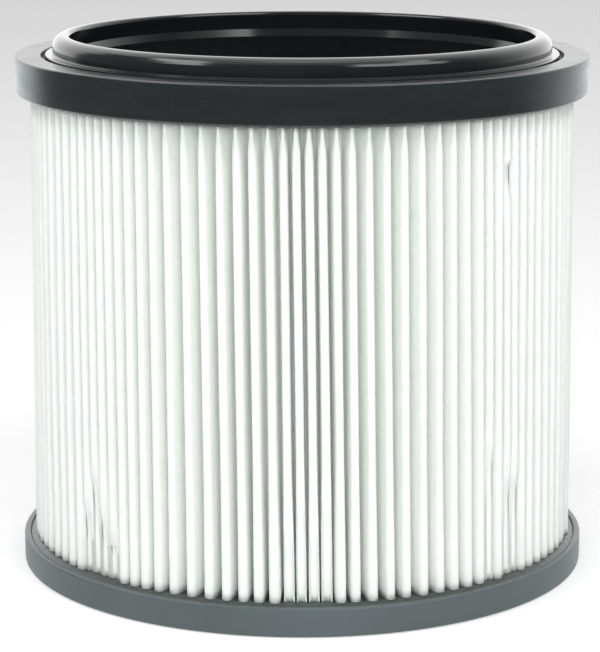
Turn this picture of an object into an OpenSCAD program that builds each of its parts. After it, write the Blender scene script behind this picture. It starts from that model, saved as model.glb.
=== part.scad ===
// Pleated cartridge filter of a wet-and-dry vacuum cleaner.
// The vacuum's float cage goes in at the mouth. Dirty air comes in through the pleats from outside.
// The origin is the centre of the standing face, and +Z is the filter's axis.

/* [Overall] */
// Height from the standing face to the crest of the mouth collar
overall_h = 175.8; // [120:0.1:260]

/* [Mouth collar] */
// Inside radius of the sealing land at the lip
mouth_r = 76; // [75.2:0.1:77.2]
// Inside radius of the throat below the land
throat_r = 75; // [72:0.1:75.8]
// Depth of the sealing land, from the crest to the cone
land_h = 6.1; // [4:0.1:9]
// Height of the cone from the land to the throat
cone_h = 2.5; // [1:0.1:4]
// Outside radius of the collar above its foot
collar_r = 81.7; // [81:0.1:83]
// Wall thickness of the collar
collar_wall = 2.2; // [1.6:0.1:2.4]
// Rise of the crest above the top ring's flat face
collar_rise = 6.4; // [5:0.1:15]
// Radius of the shoulder's outer rounding
shoulder_r = 4; // [2:0.1:4.2]
// Radius of the rounding at the mouth's inner edge
lip_r = 1.3; // [0.5:0.1:1.3]
// Outside radius of the foot flange
foot_r = 84.1; // [83:0.1:85]
// Thickness of the foot flange
foot_t = 2.4; // [1.6:0.1:3]
// Height of the foot flange's top above the ring's flat face
foot_proud = 0.3; // [0:0.1:0.8]
// Depth to which the collar's skirt plugs into the cage
spigot_h = 6; // [3:0.1:9]

/* [Top ring] */
// Outside radius at the flat face
ring_r = 94; // [92:0.1:100]
// Height of the ring's outer wall
ring_h = 12.1; // [8:0.1:18]
// Draft of the outer wall, as the loss of radius at its lower edge
ring_draft = 0.5; // [0:0.1:1.5]
// Thickness of the ring's outer wall
ring_wall = 2.2; // [1.4:0.1:2.6]
// Thickness of the ring's flat top
ring_top_t = 2.2; // [1.4:0.1:2.6]
// Thickness of the ledge that carries the collar's foot
ledge_t = 2; // [1.4:0.1:3]
// Width of the dark groove between the foot flange and the flat face
groove_w = 1.4; // [0.6:0.1:2]
// Radius of the ring's rounded edges
ring_edge_r = 0.6; // [0.2:0.1:1]

/* [Pleat pack] */
// Number of pleats in the full turn
fold_count = 114; // [60:1:130]
// Radius over the outer folds
pack_r = 89.6; // [86:0.1:91]
// Thickness of the non-woven sheet
sheet_t = 0.7; // [0.3:0.1:0.9]
// Radius of the outer folds, over the sheet
fold_r = 1.2; // [0.95:0.05:1.3]
// Radius of the valley floors between two pleats
valley_r = 0.3; // [0.1:0.05:0.5]
// Greatest wander of the creases round the pack, in degrees
fold_wander = 1.4; // [0:0.1:2]
// Number of waves of that wander in one turn
wander_waves = 8; // [3:1:10]
// Random misplacement of each crease, in degrees
fold_scatter = 0.2; // [0:0.05:0.3]
// Radial depth of the hot-melt line that joins the sheet's two ends
seam_w = 4.5; // [2:0.5:5]
// Thickness of that line
seam_t = 0.4; // [0.2:0.1:0.6]

/* [Support cage] */
// Wall thickness of the cage
cage_wall = 2; // [1.5:0.1:2.4]
// Number of upright bars
bar_count = 28; // [20:2:40]
// Width of an upright bar
bar_w = 3; // [2:0.1:5]
// Number of rows of windows
window_rows = 8; // [5:1:12]
// Height of a hoop between two rows of windows
hoop_h = 3; // [2:0.1:5]

/* [Bottom pan] */
// Outside radius of the pan
pan_r = 94.2; // [93:0.1:98]
// Height of the pan's outer rim
rim_h = 9.2; // [6:0.1:14]
// Thickness of the rim
rim_t = 2.2; // [1.4:0.1:2.6]
// Thickness of the pan's floor
floor_t = 2.5; // [1.8:0.1:3.5]
// Height of the pan's inner ring above its floor
inner_ring_h = 6; // [3:0.1:9]
// Radius of the raised centre panel
panel_r = 60; // [30:1:66]
// Rise of the centre panel above the standing face
panel_rise = 1.8; // [0.5:0.1:3]
// Radial width of the slope round the centre panel
panel_slope = 4; // [2:0.5:8]
// Number of stiffening ribs inside the pan
rib_count = 8; // [4:1:16]
// Thickness of a rib
rib_t = 1.6; // [1.2:0.1:2.5]
// Height of the ribs above the centre panel
rib_h = 2.4; // [1:0.1:3.5]
// Radius of the boss where the ribs meet
boss_r = 9; // [4:0.5:20]
// Radius of the pan's rounded outer edges
pan_edge_r = 0.8; // [0.3:0.1:1]

/* [Potting compound] */
// Level of the lower potting at the pleats, above the rim
low_crown = 0.4; // [0:0.1:1.5]
// Sag of the lower potting from the pleats to the rim
low_sag = 0.9; // [0.2:0.1:2]
// Drop of the upper potting at the pleats, below the ring
top_crown = 0.9; // [0:0.1:1.5]
// Rise of the upper potting from the pleats to the ring's wall
top_sag = 1.2; // [0.2:0.1:2]

/* [Fits] */
// Clearance between the collar's skirt and the cage, and between the cage and the pan's inner ring
spigot_fit = 0.3; // [0.1:0.05:0.6]
// Clearance between the collar's skirt and the ring's ledge
ledge_fit = 0.2; // [0.1:0.05:0.25]
// Clearance between the cage and the inner folds
cage_fit = 0.2; // [0.1:0.05:0.6]

/* [Hidden] */
$fn = 96;
// Where the sheet's ends meet, at the back of the filter
seam_angle = 90;
scatter_seed = 7;
arc_steps = 6;

// Heights of the top end
ring_top_z = overall_h - collar_rise;
ring_low_z = ring_top_z - ring_h;
foot_top_z = ring_top_z + foot_proud;
ledge_top_z = foot_top_z - foot_t;
ledge_low_z = ledge_top_z - ledge_t;
skirt_low_z = ledge_low_z - spigot_h;
cone_top_z = overall_h - land_h;
throat_top_z = cone_top_z - cone_h;
pleat_top_z = ring_low_z - top_crown;

// Heights of the bottom end
pleat_low_z = rim_h + low_crown;
pleat_h = pleat_top_z - pleat_low_z;

// Radii that follow from the mouth
skirt_r = throat_r + collar_wall;
cage_in_r = skirt_r + spigot_fit;
cage_r = cage_in_r + cage_wall;
fold_in_r = cage_r + cage_fit;
face_in_r = foot_r + groove_w;

// Points of an arc about [x, z] from one angle to another
function arc(x, z, r, from, to, steps = arc_steps) =
    [for (k = [0:steps]) let (a = from + (to - from) * k / steps) [x + r * cos(a), z + r * sin(a)]];

// Angle of crease k: even spacing, a slow wander and a little scatter that fades out at the seam
scatter = rands(-fold_scatter, fold_scatter, fold_count + 1, scatter_seed);
function crease(k) =
    let (turn = 360 * k / fold_count)
    seam_angle + turn - fold_wander * sin(wander_waves * turn)
    + (k == 0 || k == fold_count ? 0 : scatter[k]);

// A point at radius r and a given angle
function polar(r, angle) = [r * cos(angle), r * sin(angle)];

// A point at radius r on the seam's line and distance t beside it
function beside_seam(r, t) = polar(r, seam_angle) + polar(t, seam_angle + 90);

// The sheet runs over a circle at each outer fold and round a small circle in each valley
function fold_centre(k) = polar(pack_r - fold_r, (crease(k) + crease(k + 1)) / 2);
function valley_centre(k) = polar(fold_in_r + sheet_t + valley_r, crease(k));
function bearing(v) = atan2(v.y, v.x);

// A flank touches both circles, and its face points away from the fold at this angle.
// side is 1 for the flank that starts the pleat and -1 for the one that ends it.
function flank_face(fold, valley, r, side) =
    bearing(fold - valley) + side * (acos((fold_r + r) / norm(fold - valley)) - 180);
function first_face(k) =
    k == 0 ? flank_face(fold_centre(0), beside_seam(fold_in_r + seam_w, seam_t / 2), 0, 1)
    : flank_face(fold_centre(k), valley_centre(k), valley_r, 1);
function last_face(k) =
    k == fold_count - 1 ? flank_face(fold_centre(k), beside_seam(fold_in_r + seam_w, -seam_t / 2), 0, -1)
    : flank_face(fold_centre(k), valley_centre(k + 1), valley_r, -1);

// An angle turned by whole turns until it lies within half a turn of another
function near(angle, other) = angle - 360 * round((angle - other) / 360);

// Arc over outer fold k, at a depth below the sheet's outer face
function fold_arc(k, inset, steps) =
    let (c = fold_centre(k), top = (crease(k) + crease(k + 1)) / 2)
    arc(c.x, c.y, fold_r - inset, near(first_face(k), top), near(last_face(k), top), steps);

// Arc round the valley floor at crease k, at a depth below the sheet's outer face
function valley_arc(k, inset, steps) =
    let (c = valley_centre(k), floor = crease(k) + 180)
    arc(c.x, c.y, valley_r + inset,
        near(last_face(k - 1) + 180, floor), near(first_face(k) + 180, floor), steps);

// Corner of an end leg where it leaves the seam for its flank, on the sheet's inner face
function leg_corner(face, side) =
    let (n = polar(1, face), m = polar(1, seam_angle - side * 90))
    beside_seam(fold_in_r + seam_w, side * seam_t / 2) - sheet_t * (n + m) / (1 + n * m);

function reversed(list) = [for (k = [len(list) - 1:-1:0]) list[k]];

// Outline of the whole sheet: its outer face once round, and its inner face back to the start
sheet_outer = [for (k = [0:fold_count - 1])
    each concat(k == 0 ? [] : valley_arc(k, 0, 2), fold_arc(k, 0, 8))];
sheet_inner = [for (k = [0:fold_count - 1])
    each concat(k == 0 ? [] : valley_arc(k, sheet_t, 3), fold_arc(k, sheet_t, 4))];
sheet_outline = concat(
    [beside_seam(fold_in_r, seam_t / 2), beside_seam(fold_in_r + seam_w, seam_t / 2)],
    sheet_outer,
    [beside_seam(fold_in_r + seam_w, -seam_t / 2), beside_seam(fold_in_r, -seam_t / 2)],
    [beside_seam(fold_in_r, -seam_t / 2 - sheet_t), leg_corner(last_face(fold_count - 1), -1)],
    reversed(sheet_inner),
    [leg_corner(first_face(0), 1), beside_seam(fold_in_r, seam_t / 2 + sheet_t)]);

// Glossy neck with a lip, a rounded shoulder, a foot flange and a skirt. Its top is cored from below.
module mouth_collar() {
    core_z = overall_h - collar_wall;
    core_in_r = mouth_r + collar_wall;
    core_out_r = collar_r - collar_wall;
    profile = concat(
        [[throat_r, skirt_low_z], [skirt_r - 0.5, skirt_low_z], [skirt_r, skirt_low_z + 0.5]],
        [[skirt_r, throat_top_z], [core_in_r, cone_top_z], [core_in_r, core_z], [core_out_r, core_z]],
        [[core_out_r, ledge_top_z], [foot_r, ledge_top_z]],
        arc(foot_r - 0.4, foot_top_z - 0.4, 0.4, 0, 90, 3),
        reversed(arc(collar_r + 0.6, foot_top_z + 0.6, 0.6, 180, 270, 3)),
        arc(collar_r - shoulder_r, overall_h - shoulder_r, shoulder_r, 0, 90, 8),
        arc(mouth_r + lip_r, overall_h - lip_r, lip_r, 90, 180, 5),
        [[mouth_r, cone_top_z], [throat_r, throat_top_z]]);
    color("#16191b") rotate_extrude() polygon(profile);
}

// Satin ring: a flat face outside, a sunk ledge for the collar's foot inside, and a channel below
module top_ring() {
    wall_in_r = ring_r - ring_wall;
    step_r = face_in_r + ring_top_t;
    low_r = ring_r - ring_draft;
    profile = concat(
        [[skirt_r + ledge_fit, ledge_low_z], [step_r, ledge_low_z], [step_r, ring_top_z - ring_top_t]],
        [[wall_in_r, ring_top_z - ring_top_t], [wall_in_r, ring_low_z]],
        arc(low_r - ring_edge_r, ring_low_z + ring_edge_r, ring_edge_r, -90, 0, 4),
        arc(ring_r - ring_edge_r, ring_top_z - ring_edge_r, ring_edge_r, 0, 90, 4),
        arc(face_in_r + 0.3, ring_top_z - 0.3, 0.3, 90, 180, 2),
        [[face_in_r, ledge_top_z], [skirt_r + ledge_fit, ledge_top_z]]);
    color("#2c3132") rotate_extrude() polygon(profile);
}

// Compound that fills the ring's channel and bonds the ring, the cage and the pleats' upper ends
module top_potting() {
    wall_in_r = ring_r - ring_wall;
    step_r = face_in_r + ring_top_t;
    profile = [
        [cage_r, pleat_top_z],
        [pack_r + 0.4, pleat_top_z],
        [wall_in_r, pleat_top_z + top_sag],
        [wall_in_r, ring_top_z - ring_top_t],
        [step_r, ring_top_z - ring_top_t],
        [step_r, ledge_low_z],
        [cage_r, ledge_low_z]];
    color("#3a3d3d") rotate_extrude() polygon(profile);
}

// One white sheet, knife-folded into pleats with round outer folds and narrow valleys
module pleat_pack() {
    color("#eef3ed") translate([0, 0, pleat_low_z]) linear_extrude(pleat_h) polygon(sheet_outline);
}

// Hot-melt line between the sheet's two ends
module seam_glue() {
    color("#e6dfc4") rotate(seam_angle) translate([fold_in_r, -seam_t / 2, pleat_low_z])
        cube([seam_w, seam_t, pleat_h]);
}

// Moulded lattice that keeps the pleats from being sucked inwards: two end bands, hoops and bars
module support_cage() {
    low_z = pleat_low_z + hoop_h;
    pitch = (pleat_h - hoop_h) / window_rows;
    bar_inset = 0.2;
    color("#d9dcd8") union() {
        cage_band(floor_t, low_z);
        cage_band(pleat_top_z - hoop_h, ledge_low_z);
        for (row = [1:window_rows - 1]) cage_band(low_z + row * pitch - hoop_h, low_z + row * pitch);
        for (bar = [0:bar_count - 1])
            rotate(360 * (bar + 0.5) / bar_count) translate([cage_in_r + bar_inset, -bar_w / 2, low_z - 1])
                cube([cage_wall - 2 * bar_inset, bar_w, window_rows * pitch - hoop_h + 2]);
    }
}

// One ring of the cage between two heights
module cage_band(from_z, to_z) {
    translate([0, 0, from_z]) rotate_extrude() translate([cage_in_r, 0]) square([cage_wall, to_z - from_z]);
}

// Closed end: a pan with an outer rim, an inner ring for the cage, a raised centre and ribs inside
module bottom_pan() {
    rim_in_r = pan_r - rim_t;
    ring_in_r = skirt_r - collar_wall;
    profile = concat(
        [[0, panel_rise], [panel_r, panel_rise], [panel_r + panel_slope, 0]],
        arc(pan_r - pan_edge_r, pan_edge_r, pan_edge_r, -90, 0, 4),
        arc(pan_r - pan_edge_r, rim_h - pan_edge_r, pan_edge_r, 0, 90, 4),
        arc(rim_in_r + 0.5, rim_h - 0.5, 0.5, 90, 180, 3),
        [[rim_in_r, floor_t], [skirt_r, floor_t], [skirt_r, floor_t + inner_ring_h]],
        [[ring_in_r, floor_t + inner_ring_h], [ring_in_r, floor_t]],
        [[panel_r + panel_slope, floor_t], [panel_r, floor_t + panel_rise], [0, floor_t + panel_rise]]);
    rib_top_z = floor_t + panel_rise + rib_h;
    color("#23272a") union() {
        rotate_extrude() polygon(profile);
        translate([0, 0, panel_rise + floor_t / 2]) cylinder(h = rib_top_z - panel_rise - floor_t / 2, r = boss_r);
        for (k = [0:rib_count - 1])
            rotate(360 * k / rib_count) translate([boss_r / 2, -rib_t / 2, panel_rise + floor_t / 2])
                cube([ring_in_r + collar_wall / 2 - boss_r / 2, rib_t, rib_top_z - panel_rise - floor_t / 2]);
    }
}

// Compound poured into the pan round the cage's foot. It stands a little higher at the pleats.
module bottom_potting() {
    rim_in_r = pan_r - rim_t;
    profile = [
        [cage_r, floor_t],
        [rim_in_r, floor_t],
        [rim_in_r, pleat_low_z - low_sag],
        [pack_r + 0.4, pleat_low_z],
        [cage_r, pleat_low_z]];
    color("#45484a") rotate_extrude() polygon(profile);
}

mouth_collar();
top_ring();
top_potting();
pleat_pack();
seam_glue();
support_cage();
bottom_pan();
bottom_potting();
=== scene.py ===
import math

import bpy
import numpy as np
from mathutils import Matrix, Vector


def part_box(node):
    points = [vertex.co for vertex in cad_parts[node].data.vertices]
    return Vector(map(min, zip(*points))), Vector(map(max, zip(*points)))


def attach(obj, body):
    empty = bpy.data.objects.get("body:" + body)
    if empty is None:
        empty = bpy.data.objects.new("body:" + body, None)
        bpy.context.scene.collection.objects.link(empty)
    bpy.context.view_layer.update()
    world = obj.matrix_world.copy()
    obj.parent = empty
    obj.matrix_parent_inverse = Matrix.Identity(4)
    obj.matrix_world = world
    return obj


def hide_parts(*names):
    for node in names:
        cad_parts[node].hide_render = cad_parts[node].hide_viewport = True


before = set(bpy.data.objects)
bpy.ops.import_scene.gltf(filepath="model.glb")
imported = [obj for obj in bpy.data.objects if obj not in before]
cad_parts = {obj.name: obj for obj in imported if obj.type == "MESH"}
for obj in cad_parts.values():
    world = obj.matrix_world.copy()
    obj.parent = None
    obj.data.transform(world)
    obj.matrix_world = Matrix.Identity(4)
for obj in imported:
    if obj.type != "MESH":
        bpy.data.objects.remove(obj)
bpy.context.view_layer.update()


# --- Support cage ---
# Moulded ABS lattice that stands inside the pleats and keeps the suction from folding them inwards.
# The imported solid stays; its plastic is plain, a little chalky, with faint flow marks round the gates.

def linear(code):
    """sRGB hex to linear RGBA: c / 12.92 below 0.04045, else ((c + 0.055) / 1.055) ** 2.4."""
    c = np.array([int(code[i:i + 2], 16) for i in (1, 3, 5)]) / 255
    return (*np.where(c <= 0.04045, c / 12.92, ((c + 0.055) / 1.055) ** 2.4).tolist(), 1.0)


def finish_named(name):
    """A new node material, with its tree and its Principled shader."""
    m = bpy.data.materials.new(name)
    m.use_nodes = True
    return m, m.node_tree, m.node_tree.nodes["Principled BSDF"]


def add(tree, kind, settings=None, **inputs):
    """Adds one node. settings are its properties; inputs are values, or the sockets linked to it.

    An input's name is its socket's in lower case with _ for a space, or iN for socket number N.
    """
    node = tree.nodes.new(kind)
    for key, value in (settings or {}).items():
        setattr(node, key, value)
    for key, value in inputs.items():
        if key[0] == "i" and key[1:].isdigit():
            socket = node.inputs[int(key[1:])]
        else:
            socket = next(s for s in node.inputs if s.name.lower().replace(" ", "_") == key)
        if isinstance(value, bpy.types.NodeSocket):
            tree.links.new(value, socket)
        else:
            socket.default_value = value
    return node


def ramp(tree, fac, *stops):
    """A colour ramp through (position, hex or grey) stops."""
    node = add(tree, "ShaderNodeValToRGB", i0=fac)
    line = node.color_ramp.elements
    while len(line) < len(stops):
        line.new(0.5)
    for element, (place, shade) in zip(line, stops):
        element.position = place
        element.color = linear(shade) if isinstance(shade, str) else (shade, shade, shade, 1)
    return node.outputs[0]


def dress(node, material):
    """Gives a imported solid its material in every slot."""
    node.data.materials.clear()
    node.data.materials.append(material)


cage_abs, tree, skin = finish_named("moulded_abs_cage")
place = add(tree, "ShaderNodeTexCoord").outputs["Object"]
flow = add(tree, "ShaderNodeTexNoise", vector=place, scale=60.0, detail=4.0).outputs[0]
grain = add(tree, "ShaderNodeTexNoise", vector=place, scale=900.0, detail=2.0).outputs[0]
tree.links.new(ramp(tree, flow, (0.3, "#3c4142"), (0.7, "#474c4d")), skin.inputs["Base Color"])
tree.links.new(ramp(tree, flow, (0.3, 0.38), (0.7, 0.5)), skin.inputs["Roughness"])
tree.links.new(add(tree, "ShaderNodeBump", strength=0.15, distance=0.0002, height=grain).outputs[0],
               skin.inputs["Normal"])
dress(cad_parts["support_cage"], cage_abs)


# --- Pleat pack ---
# One sheet of white spunbond polyester, scored and knife-folded into 114 pleats round the cage.
# Its folds are pinched sharp where they enter the ring, swell on the way down and lean a little.

pleat_low, pleat_high = (v.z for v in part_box("pleat_pack"))
pleats = 114
sheet = 0.00045
fold_in = 0.0797
valley_radius = 0.0003
seam_angle = math.pi / 2
seam_depth, seam_gap = 0.0045, 0.0004


def mesh_object(name, points, faces, smooth=True):
    """Puts points and equal-sized faces into a new mesh object at the origin."""
    mesh = bpy.data.meshes.new(name)
    corners = faces.shape[1]
    mesh.vertices.add(len(points))
    mesh.vertices.foreach_set("co", points.astype(np.float32).ravel())
    mesh.loops.add(faces.size)
    mesh.loops.foreach_set("vertex_index", faces.astype(np.int32).ravel())
    mesh.polygons.add(len(faces))
    mesh.polygons.foreach_set("loop_start", np.arange(0, faces.size, corners, dtype=np.int32))
    mesh.polygons.foreach_set("loop_total", np.full(len(faces), corners, dtype=np.int32))
    mesh.polygons.foreach_set("use_smooth", np.full(len(faces), smooth, dtype=bool))
    mesh.update(calc_edges=True)
    mesh.validate()
    piece = bpy.data.objects.new(name, mesh)
    bpy.context.scene.collection.objects.link(piece)
    return piece


def wander(rng, count, heights, waves):
    """Smooth random curves over height, one per pleat: sums of sines with random phase."""
    t = (heights - pleat_low) / (pleat_high - pleat_low)
    curve = np.zeros((count, len(heights)))
    for wave in waves:
        phase, size = rng.uniform(0, 2 * np.pi, (count, 1)), rng.normal(0, 1, (count, 1)) / wave
        curve += size * np.sin(np.pi * wave * t[None, :] + phase)
    return curve


def eased(a, b, x):
    """0 below a, 1 above b, and 3s^2 - 2s^3 between them."""
    s = np.clip((x - a) / (b - a), 0, 1)
    return s * s * (3 - 2 * s)


def pleat_faces(heights):
    """Outer and inner face of the folded sheet at each height, rows x columns x 3 each.

    A pleat runs over a circle at its outer fold, centred between two creases, and round a small
    circle at each crease. A flank is the inner tangent of both circles, so its normal n has
    cos(n, fold centre - valley centre) = -(fold radius + valley radius) / distance. Depth d below
    the outer face changes the radii to fold - d and valley + d and keeps the same normals.
    """
    rng = np.random.default_rng(11)
    k = np.arange(pleats + 1)
    turn = 2 * np.pi * k / pleats
    crease = seam_angle + turn - math.radians(1.4) * np.sin(8 * turn)
    crease[1:-1] += math.radians(0.2) * rng.uniform(-1, 1, pleats - 1)
    down = (pleat_high - heights) / (pleat_high - pleat_low)
    lean = math.radians(1.2) * down[None, :] + math.radians(0.07) * wander(
        rng, pleats + 1, heights, (1, 2, 3)) * eased(0, 0.15, down)[None, :]
    lean *= np.sin(np.clip(np.minimum(k, pleats - k) / 4, 0, 1) * np.pi / 2)[:, None]
    crease = crease[:, None] + lean

    # Fold radius: pinched at the ring, round at mid-height, swollen above the pan
    top, low = heights - (pleat_high - 0.0085), heights - pleat_low
    fold = 0.00125 + 0.0004 * eased(0.05, 0, low) - 0.0007 * eased(0, 0.0075, top)
    fold = fold[None, :] * (1 + 0.05 * wander(rng, pleats, heights, (1, 2)))
    room = 0.45 * 0.0896 * np.diff(crease, axis=0) - 0.00015
    fold = np.clip(fold, sheet + 0.00008, room)
    # The pack is a little narrower at the ring than at the pan
    outer = 0.0896 - 0.0007 + 0.0014 * down[None, :] + 0.00012 * wander(rng, pleats, heights, (1, 2, 3))
    outer = np.minimum(outer, 0.0908)

    middle = (crease[:-1] + crease[1:]) / 2
    centre = (outer - fold) * np.exp(1j * middle)
    valley = (fold_in + sheet + valley_radius) * np.exp(1j * crease)
    first_foot, last_foot = valley[:-1].copy(), valley[1:].copy()
    foot_radius = np.full_like(fold, valley_radius)
    last_radius = foot_radius.copy()
    seam = np.exp(1j * seam_angle)
    first_foot[0], foot_radius[0] = seam * (fold_in + seam_depth + 0.5j * seam_gap), 0
    last_foot[-1], last_radius[-1] = seam * (fold_in + seam_depth - 0.5j * seam_gap), 0

    def normal(foot, radius, side):
        run = centre - foot
        return np.exp(1j * (np.angle(run) + side * (np.arccos((fold + radius) / abs(run)) - np.pi)))

    rise, fall = normal(first_foot, foot_radius, 1), normal(last_foot, last_radius, -1)

    def arc(middle_point, radius, start, end, steps):
        """Points from direction start to direction end, the short way about their mean."""
        half = np.angle(end / start)
        t = np.linspace(0, 1, steps)
        return middle_point + radius * start * np.exp(1j * half * t)

    faces = []
    for depth in (0.0, sheet):
        over = arc(centre[..., None], (fold - depth)[..., None], rise[..., None], fall[..., None], 9)
        before = np.roll(fall, 1, 0)[..., None]
        floor = valley[:-1, :, None] - (valley_radius + depth) * np.exp(1j * np.angle(before)) * np.exp(
            1j * np.angle(rise[..., None] / before) * np.linspace(0, 1, 3))
        # At the seam the first leg runs straight in between the sheet's two ends
        reach = fold_in + seam_depth * np.array([0.0, 0.5, 1.0])
        floor[0] = seam * (reach + 1j * (0.5 * seam_gap + depth))
        climb = floor[..., -1:] + (over[..., :1] - floor[..., -1:]) * np.array([1 / 3, 2 / 3])
        next_floor = np.concatenate([floor[1:, :, :1], floor[:1, :, :1]])
        next_floor[-1] = seam * (fold_in + seam_depth - 1j * (0.5 * seam_gap + depth))
        drop = over[..., -1:] + (next_floor - over[..., -1:]) * np.array([1 / 3, 2 / 3])
        blocks = np.concatenate([floor, climb, over, drop], -1)
        columns = blocks.transpose(1, 0, 2).reshape(len(heights), -1)
        end = seam * (reach[::-1] - 1j * (0.5 * seam_gap + depth))
        columns = np.concatenate([columns, np.broadcast_to(end, (len(heights), 3))], 1)
        z = np.broadcast_to(heights[:, None], columns.shape)
        faces.append(np.stack([columns.real, columns.imag, z], -1))
    return faces


def row_heights():
    """Heights of the rows, closer together where the folds open below the ring and above the pan."""
    low, high = pleat_low, pleat_high
    return np.concatenate([
        np.linspace(low, low + 0.012, 6)[:-1],
        np.linspace(low + 0.012, high - 0.016, 12)[:-1],
        np.linspace(high - 0.016, high, 10)])


heights = row_heights()
outer_face, inner_face = pleat_faces(heights)
columns = outer_face.shape[1]
points = np.concatenate([outer_face, inner_face[:, ::-1]], 1)
loop = points.shape[1]
i, j = np.arange(len(heights) - 1)[:, None], np.arange(loop)[None, :]
walls = np.stack([i * loop + j, i * loop + (j + 1) % loop, (i + 1) * loop + (j + 1) % loop,
                  (i + 1) * loop + j], -1).reshape(-1, 4)
j = np.arange(columns - 1)
lid = (len(heights) - 1) * loop
bottom_edge = np.stack([loop - 1 - j, loop - 2 - j, j + 1, j], -1)
top_edge = np.stack([lid + j, lid + j + 1, lid + loop - 2 - j, lid + loop - 1 - j], -1)
pleat_pack = mesh_object("pleats", points.reshape(-1, 3), np.concatenate([walls, bottom_edge, top_edge]))

# Spunbond polyester: matt white fibres with a cloudy formation a few millimetres across.
# Fibres are 0.02 mm thick, drawn here ten times coarser so that they show.
spunbond, tree, skin = finish_named("spunbond_polyester")
place = add(tree, "ShaderNodeTexCoord").outputs["Object"]
cloud = add(tree, "ShaderNodeTexNoise", vector=place, scale=260.0, detail=4.0, roughness=0.55).outputs[0]
fibre = add(tree, "ShaderNodeTexNoise", vector=place, scale=2600.0, detail=3.0, roughness=0.6,
            distortion=1.5).outputs[0]
tree.links.new(ramp(tree, cloud, (0.3, "#f3f8f3"), (0.7, "#f8fcf8")), skin.inputs["Base Color"])
skin.inputs["Roughness"].default_value = 0.85
skin.inputs["Specular IOR Level"].default_value = 0.25
skin.inputs["Sheen Weight"].default_value = 0.08
felt = add(tree, "ShaderNodeBump", strength=0.25, distance=0.0001, height=fibre).outputs[0]
felt = add(tree, "ShaderNodeBump", strength=0.3, distance=0.0003, height=cloud, normal=felt).outputs[0]
tree.links.new(felt, skin.inputs["Normal"])
pleat_pack.data.materials.append(spunbond)
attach(pleat_pack, "root")
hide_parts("pleat_pack")


# --- Seam glue ---
# Hot-melt line between the sheet's two ends, at the back of the filter.
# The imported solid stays; set hot-melt is waxy, cream and slightly uneven.

hot_melt, tree, skin = finish_named("set_hot_melt")
place = add(tree, "ShaderNodeTexCoord").outputs["Object"]
ripple = add(tree, "ShaderNodeTexNoise", vector=place, scale=400.0, detail=2.0).outputs[0]
tree.links.new(ramp(tree, ripple, (0.3, "#d9cfa8"), (0.7, "#e9e2c6")), skin.inputs["Base Color"])
skin.inputs["Roughness"].default_value = 0.3
tree.links.new(add(tree, "ShaderNodeBump", strength=0.4, distance=0.0003, height=ripple).outputs[0],
               skin.inputs["Normal"])
dress(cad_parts["seam_glue"], hot_melt)


# --- Bottom pan ---
# Closed end cap, moulded in grey polyurethane rubber. The pleats are set in it while it is liquid.
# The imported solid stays; its corner is lumpy and shiny where the compound ran over the rim.

pan_rubber, tree, skin = finish_named("cast_polyurethane_pan")
place = add(tree, "ShaderNodeTexCoord").outputs["Object"]
patch = add(tree, "ShaderNodeTexNoise", vector=place, scale=22.0, detail=3.0).outputs[0]
speck = add(tree, "ShaderNodeTexNoise", vector=place, scale=1400.0, detail=2.0).outputs[0]
tree.links.new(ramp(tree, patch, (0.3, "#50595a"), (0.7, "#5a6366")), skin.inputs["Base Color"])
tree.links.new(ramp(tree, patch, (0.3, 0.3), (0.7, 0.42)), skin.inputs["Roughness"])
tree.links.new(add(tree, "ShaderNodeBump", strength=0.12, distance=0.0002, height=speck).outputs[0],
               skin.inputs["Normal"])
dress(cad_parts["bottom_pan"], pan_rubber)


# --- Bottom potting ---
# Polyurethane compound poured into the pan round the pleats' lower ends.

potting, tree, skin = finish_named("poured_polyurethane")
place = add(tree, "ShaderNodeTexCoord").outputs["Object"]
lump = add(tree, "ShaderNodeTexNoise", vector=place, scale=420.0, detail=3.0).outputs[0]
tree.links.new(ramp(tree, lump, (0.3, "#39403f"), (0.7, "#444c4b")), skin.inputs["Base Color"])
skin.inputs["Roughness"].default_value = 0.3
tree.links.new(add(tree, "ShaderNodeBump", strength=0.5, distance=0.0006, height=lump).outputs[0],
               skin.inputs["Normal"])
dress(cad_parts["bottom_potting"], potting)


# --- Top ring ---
# Satin black ring, moulded in ABS. Its channel holds the compound and the pleats' upper ends.

ring_abs, tree, skin = finish_named("satin_black_abs")
place = add(tree, "ShaderNodeTexCoord").outputs["Object"]
drawn = add(tree, "ShaderNodeMapping", i0=place, i3=(1, 1, 6)).outputs[0]
mottle = add(tree, "ShaderNodeTexNoise", vector=drawn, scale=30.0, detail=5.0, roughness=0.6).outputs[0]
tree.links.new(ramp(tree, mottle, (0.3, "#191d1e"), (0.7, "#222728")), skin.inputs["Base Color"])
tree.links.new(ramp(tree, mottle, (0.3, 0.22), (0.7, 0.32)), skin.inputs["Roughness"])
dress(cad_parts["top_ring"], ring_abs)


# --- Top potting ---
# The same compound in the ring's channel.

dress(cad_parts["top_potting"], potting)


# --- Mouth collar ---
# Glossy black neck, moulded in ABS and turned inside. It plugs into the cage and stands on the ring.

collar_abs, tree, skin = finish_named("gloss_black_abs")
place = add(tree, "ShaderNodeTexCoord").outputs["Object"]
skin.inputs["Base Color"].default_value = linear("#141718")
skin.inputs["Roughness"].default_value = 0.14
dress(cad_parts["mouth_collar"], collar_abs)


# --- Studio ---
# White sweep that shows a painted reflection to glossy rays, two softboxes in front on the left and right, and the
# camera of the photograph.

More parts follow.
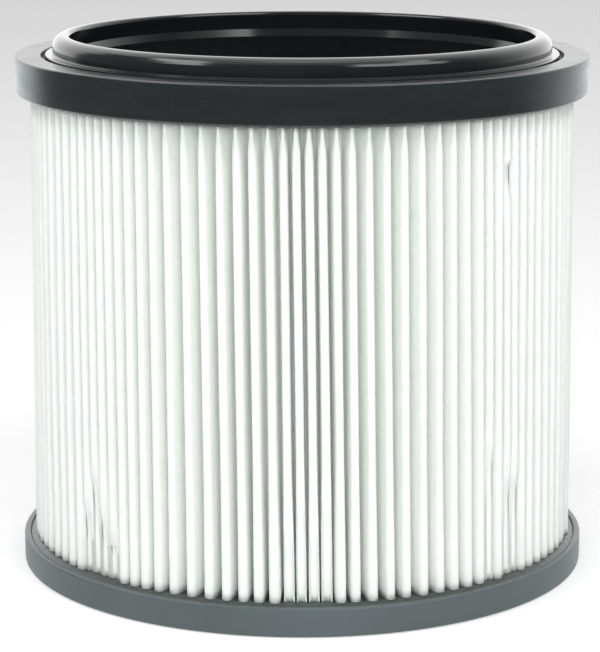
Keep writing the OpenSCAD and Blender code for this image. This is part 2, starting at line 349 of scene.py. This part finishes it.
def lamp(name, azimuth, elevation, distance, width, height, power, aim=(0, 0, 0.12)):
    """An area lamp at an azimuth from the camera's side, with positive to the right, facing aim."""
    a, e = math.radians(azimuth), math.radians(elevation)
    spot = np.array(aim) + distance * np.array([math.sin(a) * math.cos(e), -math.cos(a) * math.cos(e),
                                                math.sin(e)])
    data = bpy.data.lights.new(name, "AREA")
    data.shape, data.size, data.size_y, data.energy = "RECTANGLE", width, height, power
    light = bpy.data.objects.new(name, data)
    light.location = spot
    light.rotation_euler = (math.pi / 2 - e, 0, a)
    bpy.context.scene.collection.objects.link(light)
    return light


lamp("softbox_left", -72, 50, 1.2, 0.6, 0.45, 4.5)
lamp("softbox_right", 54, 50, 1.2, 0.75, 0.45, 4.5)
lamp("top_panel", 0, 85, 1.6, 1.4, 1.4, 4)
front_fill = lamp("front_fill", 0, 16, 1.6, 1.2, 0.9, 13)
front_fill.visible_glossy = False


def reflection_level(tree, vector):
    """Level that glossy rays see by azimuth: full behind, a hard edge on the left, a soft one on the right.

    The share of y in a level direction is -1 towards the camera and 1 straight behind.
    """
    axis = add(tree, "ShaderNodeSeparateXYZ", i0=vector).outputs
    level = add(tree, "ShaderNodeCombineXYZ", i0=axis[0], i1=axis[1]).outputs[0]
    behind = add(tree, "ShaderNodeSeparateXYZ", i0=add(
        tree, "ShaderNodeVectorMath", {"operation": "NORMALIZE"}, i0=level).outputs[0]).outputs[1]
    left = add(tree, "ShaderNodeMapRange", {"interpolation_type": "SMOOTHSTEP"}, i0=behind, i1=0.5, i2=0.64,
               i3=0.28, i4=1.7).outputs[0]
    right = add(tree, "ShaderNodeMapRange", {"interpolation_type": "SMOOTHSTEP"}, i0=behind, i1=-0.2, i2=0.95,
                i3=0.2, i4=1.7).outputs[0]
    side = add(tree, "ShaderNodeMath", {"operation": "GREATER_THAN"}, i0=axis[0], i1=0.0).outputs[0]
    return add(tree, "ShaderNodeMix", {"data_type": "FLOAT"}, i0=side, i2=left, i3=right).outputs[0]


floor_paint_and_reflection, tree, skin = finish_named("white_sweep_paint")
skin.inputs["Base Color"].default_value = (0.8, 0.8, 0.8, 1)
skin.inputs["Roughness"].default_value = 0.9
skin.inputs["Specular IOR Level"].default_value = 0.0
path = add(tree, "ShaderNodeLightPath").outputs
seen = add(tree, "ShaderNodeMath", {"operation": "MAXIMUM"}, i0=path["Is Camera Ray"],
           i1=path["Is Transmission Ray"]).outputs[0]
glow = add(tree, "ShaderNodeMath", {"operation": "MULTIPLY"}, i0=seen, i1=0.4).outputs[0]
skin.inputs["Emission Color"].default_value = (1, 1, 1, 1)
tree.links.new(glow, skin.inputs["Emission Strength"])
# For glossy rays the floor glows instead of reflecting: a painted reflection, bright close to the filter and
# shaped by azimuth.
spot = add(tree, "ShaderNodeTexCoord").outputs["Object"]
reach = add(tree, "ShaderNodeVectorMath", {"operation": "LENGTH"}, i0=spot).outputs["Value"]
painted_pool_close = add(tree, "ShaderNodeMapRange", {"interpolation_type": "SMOOTHSTEP"}, i0=reach, i1=0.2, i2=0.7,
           i3=0.95, i4=0.0).outputs[0]
level = add(tree, "ShaderNodeMath", {"operation": "MAXIMUM"}, i0=painted_pool_close, i1=reflection_level(tree, spot)).outputs[0]
# Painted reflection: this glow is all that glossy rays see of the floor.
painted_reflection = add(tree, "ShaderNodeEmission", color=(0.94, 1.0, 1.02, 1), strength=level).outputs[0]
both = add(tree, "ShaderNodeMixShader", i0=path["Is Glossy Ray"], i1=skin.outputs[0], i2=painted_reflection).outputs[0]
tree.links.new(both, tree.nodes["Material Output"].inputs["Surface"])
side = np.array([-1.0, 1.0]) * 6
floor_points = np.array([[x, y, -0.0002] for y in side for x in side])
sweep = mesh_object("sweep_floor", floor_points, np.array([[0, 1, 3, 2]]))
sweep.data.materials.append(floor_paint_and_reflection)

world = bpy.data.worlds.new("studio_air")
bpy.context.scene.world = world
world.use_nodes = True
tree = world.node_tree
path = add(tree, "ShaderNodeLightPath").outputs
seen = add(tree, "ShaderNodeMath", {"operation": "MAXIMUM"}, i0=path["Is Camera Ray"],
           i1=path["Is Transmission Ray"]).outputs[0]
mirrored = reflection_level(tree, add(tree, "ShaderNodeTexCoord").outputs["Generated"])
air = add(tree, "ShaderNodeMix", {"data_type": "FLOAT"}, i0=path["Is Glossy Ray"], i2=0.28, i3=mirrored).outputs[0]
air = add(tree, "ShaderNodeMix", {"data_type": "FLOAT"}, i0=seen, i2=air, i3=1.0).outputs[0]
tree.links.new(air, tree.nodes["Background"].inputs["Strength"])
tree.nodes["Background"].inputs["Color"].default_value = (1, 1, 1, 1)

camera_data = bpy.data.cameras.new("camera")
camera_data.lens = 139.5
camera = bpy.data.objects.new("camera", camera_data)
camera.location = (-0.00074, -0.8295, 0.2574)
camera.rotation_euler = (math.radians(90 - 12.25), 0, 0)
bpy.context.scene.collection.objects.link(camera)
bpy.context.scene.camera = camera
bpy.context.scene.view_settings.view_transform = "Standard"
